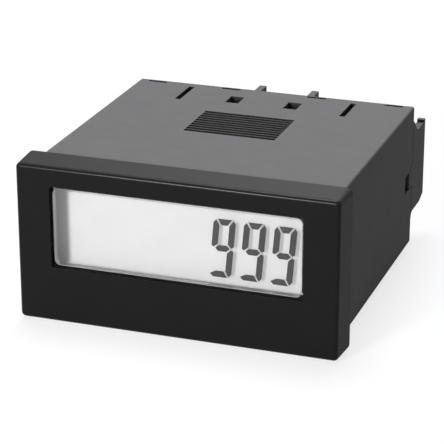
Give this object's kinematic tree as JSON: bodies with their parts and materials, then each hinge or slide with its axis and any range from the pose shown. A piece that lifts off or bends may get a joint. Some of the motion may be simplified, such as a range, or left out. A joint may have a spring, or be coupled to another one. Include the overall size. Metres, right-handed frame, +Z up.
{
  "type": "panel counter",
  "caption": "Flush-mounted panel counter: black bezel with a liquid crystal display, slim case with ratchet teeth for a mounting adapter, and barrier screw terminals at the rear.",
  "frame": {"origin": "centre of the bezel's back ring, in the plane that seats on the front of the panel", "axes": "+X to the right seen from the front, +Y back through the panel cut-out towards the terminals, +Z up"},
  "size_m": [0.048, 0.0526, 0.024],
  "materials": {
    "bezel_black": "satin moulded black plastic",
    "case_grey": "matte moulded dark grey plastic",
    "block_grey": "matte moulded dark grey plastic",
    "lens_clear": "clear moulded plastic",
    "frame_grey": "matte moulded grey plastic",
    "lcd_glass": "clear display glass",
    "lcd_segment": "dark liquid crystal segment",
    "reflector_white": "diffuse white reflector film",
    "guide_clear": "clear acrylic light guide",
    "lamp_white": "white component body",
    "strip_rubber": "layered silicone contact strip",
    "board_green": "green solder mask",
    "chip_black": "moulded black component body",
    "steel": "bright steel can",
    "plated_steel": "zinc plated steel",
    "brass": "bright brass plate"
  },
  "bodies": {
    "root": {"front_bezel": "bezel_black", "window_lens": "lens_clear", "lcd_frame": "frame_grey", "lcd_front_glass": "lcd_glass", "lcd_digits": "lcd_segment", "lcd_rear_glass": "lcd_glass", "lcd_reflector": "reflector_white", "light_guide": "guide_clear", "backlight_lamps": "lamp_white", "elastomer_strip": "strip_rubber", "display_board": "board_green", "board_header": "chip_black", "main_board": "board_green", "microcontroller": "chip_black", "crystal": "steel", "battery": "steel", "battery_tabs": "steel", "capacitor": "chip_black", "optocoupler": "lamp_white", "resistors": "chip_black", "case": "case_grey", "terminal_block": "block_grey", "terminal_plates": "brass", "screw_washers": "plated_steel", "terminal_screws": "plated_steel"}
  },
  "joints": []
}
